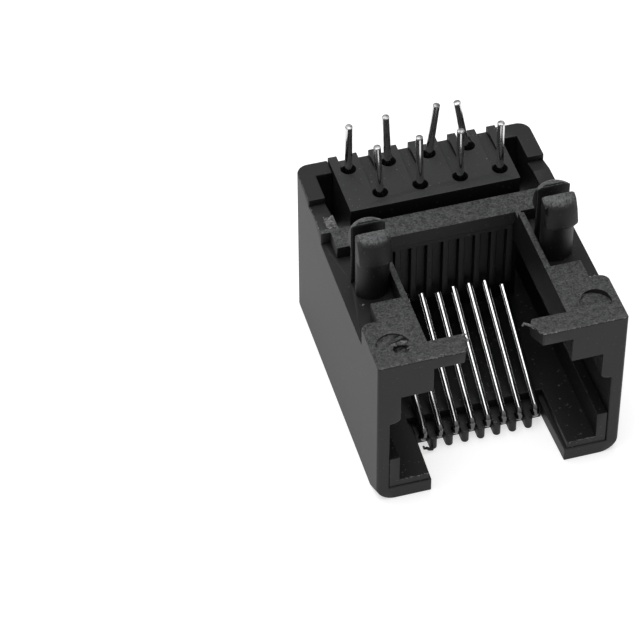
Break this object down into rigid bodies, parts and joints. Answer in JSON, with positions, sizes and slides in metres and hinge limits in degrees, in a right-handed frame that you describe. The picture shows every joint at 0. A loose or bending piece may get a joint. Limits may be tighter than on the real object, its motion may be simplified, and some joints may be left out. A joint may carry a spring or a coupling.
{
  "type": "rj45 board jack",
  "caption": "Unshielded side-entry modular jack for a circuit board: black moulded housing with latch channel, split board pegs, a slide-in carrier and bent wire contacts.",
  "frame": {"origin": "midway between the two board pegs, in the plane where the part's pads meet the board", "axes": "+Z into the board (pegs and solder pins), -Y towards the plug's opening, +X to the right seen from the plug's side. The part is stored with its board side up, lying on its top wall, as the pictured one lies."},
  "size_m": [0.0152, 0.0181, 0.0152],
  "materials": {
    "housing_plastic": "black moulded plastic with a fine grain",
    "carrier_plastic": "black moulded plastic, slightly smoother",
    "contact_wire": "bright tin-plated spring wire"
  },
  "bodies": {
    "root": {"housing": "housing_plastic", "contact_carrier": "carrier_plastic", "contact_1": "contact_wire", "contact_2": "contact_wire", "contact_3": "contact_wire", "contact_4": "contact_wire", "contact_5": "contact_wire", "contact_6": "contact_wire", "contact_7": "contact_wire", "contact_8": "contact_wire"}
  },
  "joints": []
}
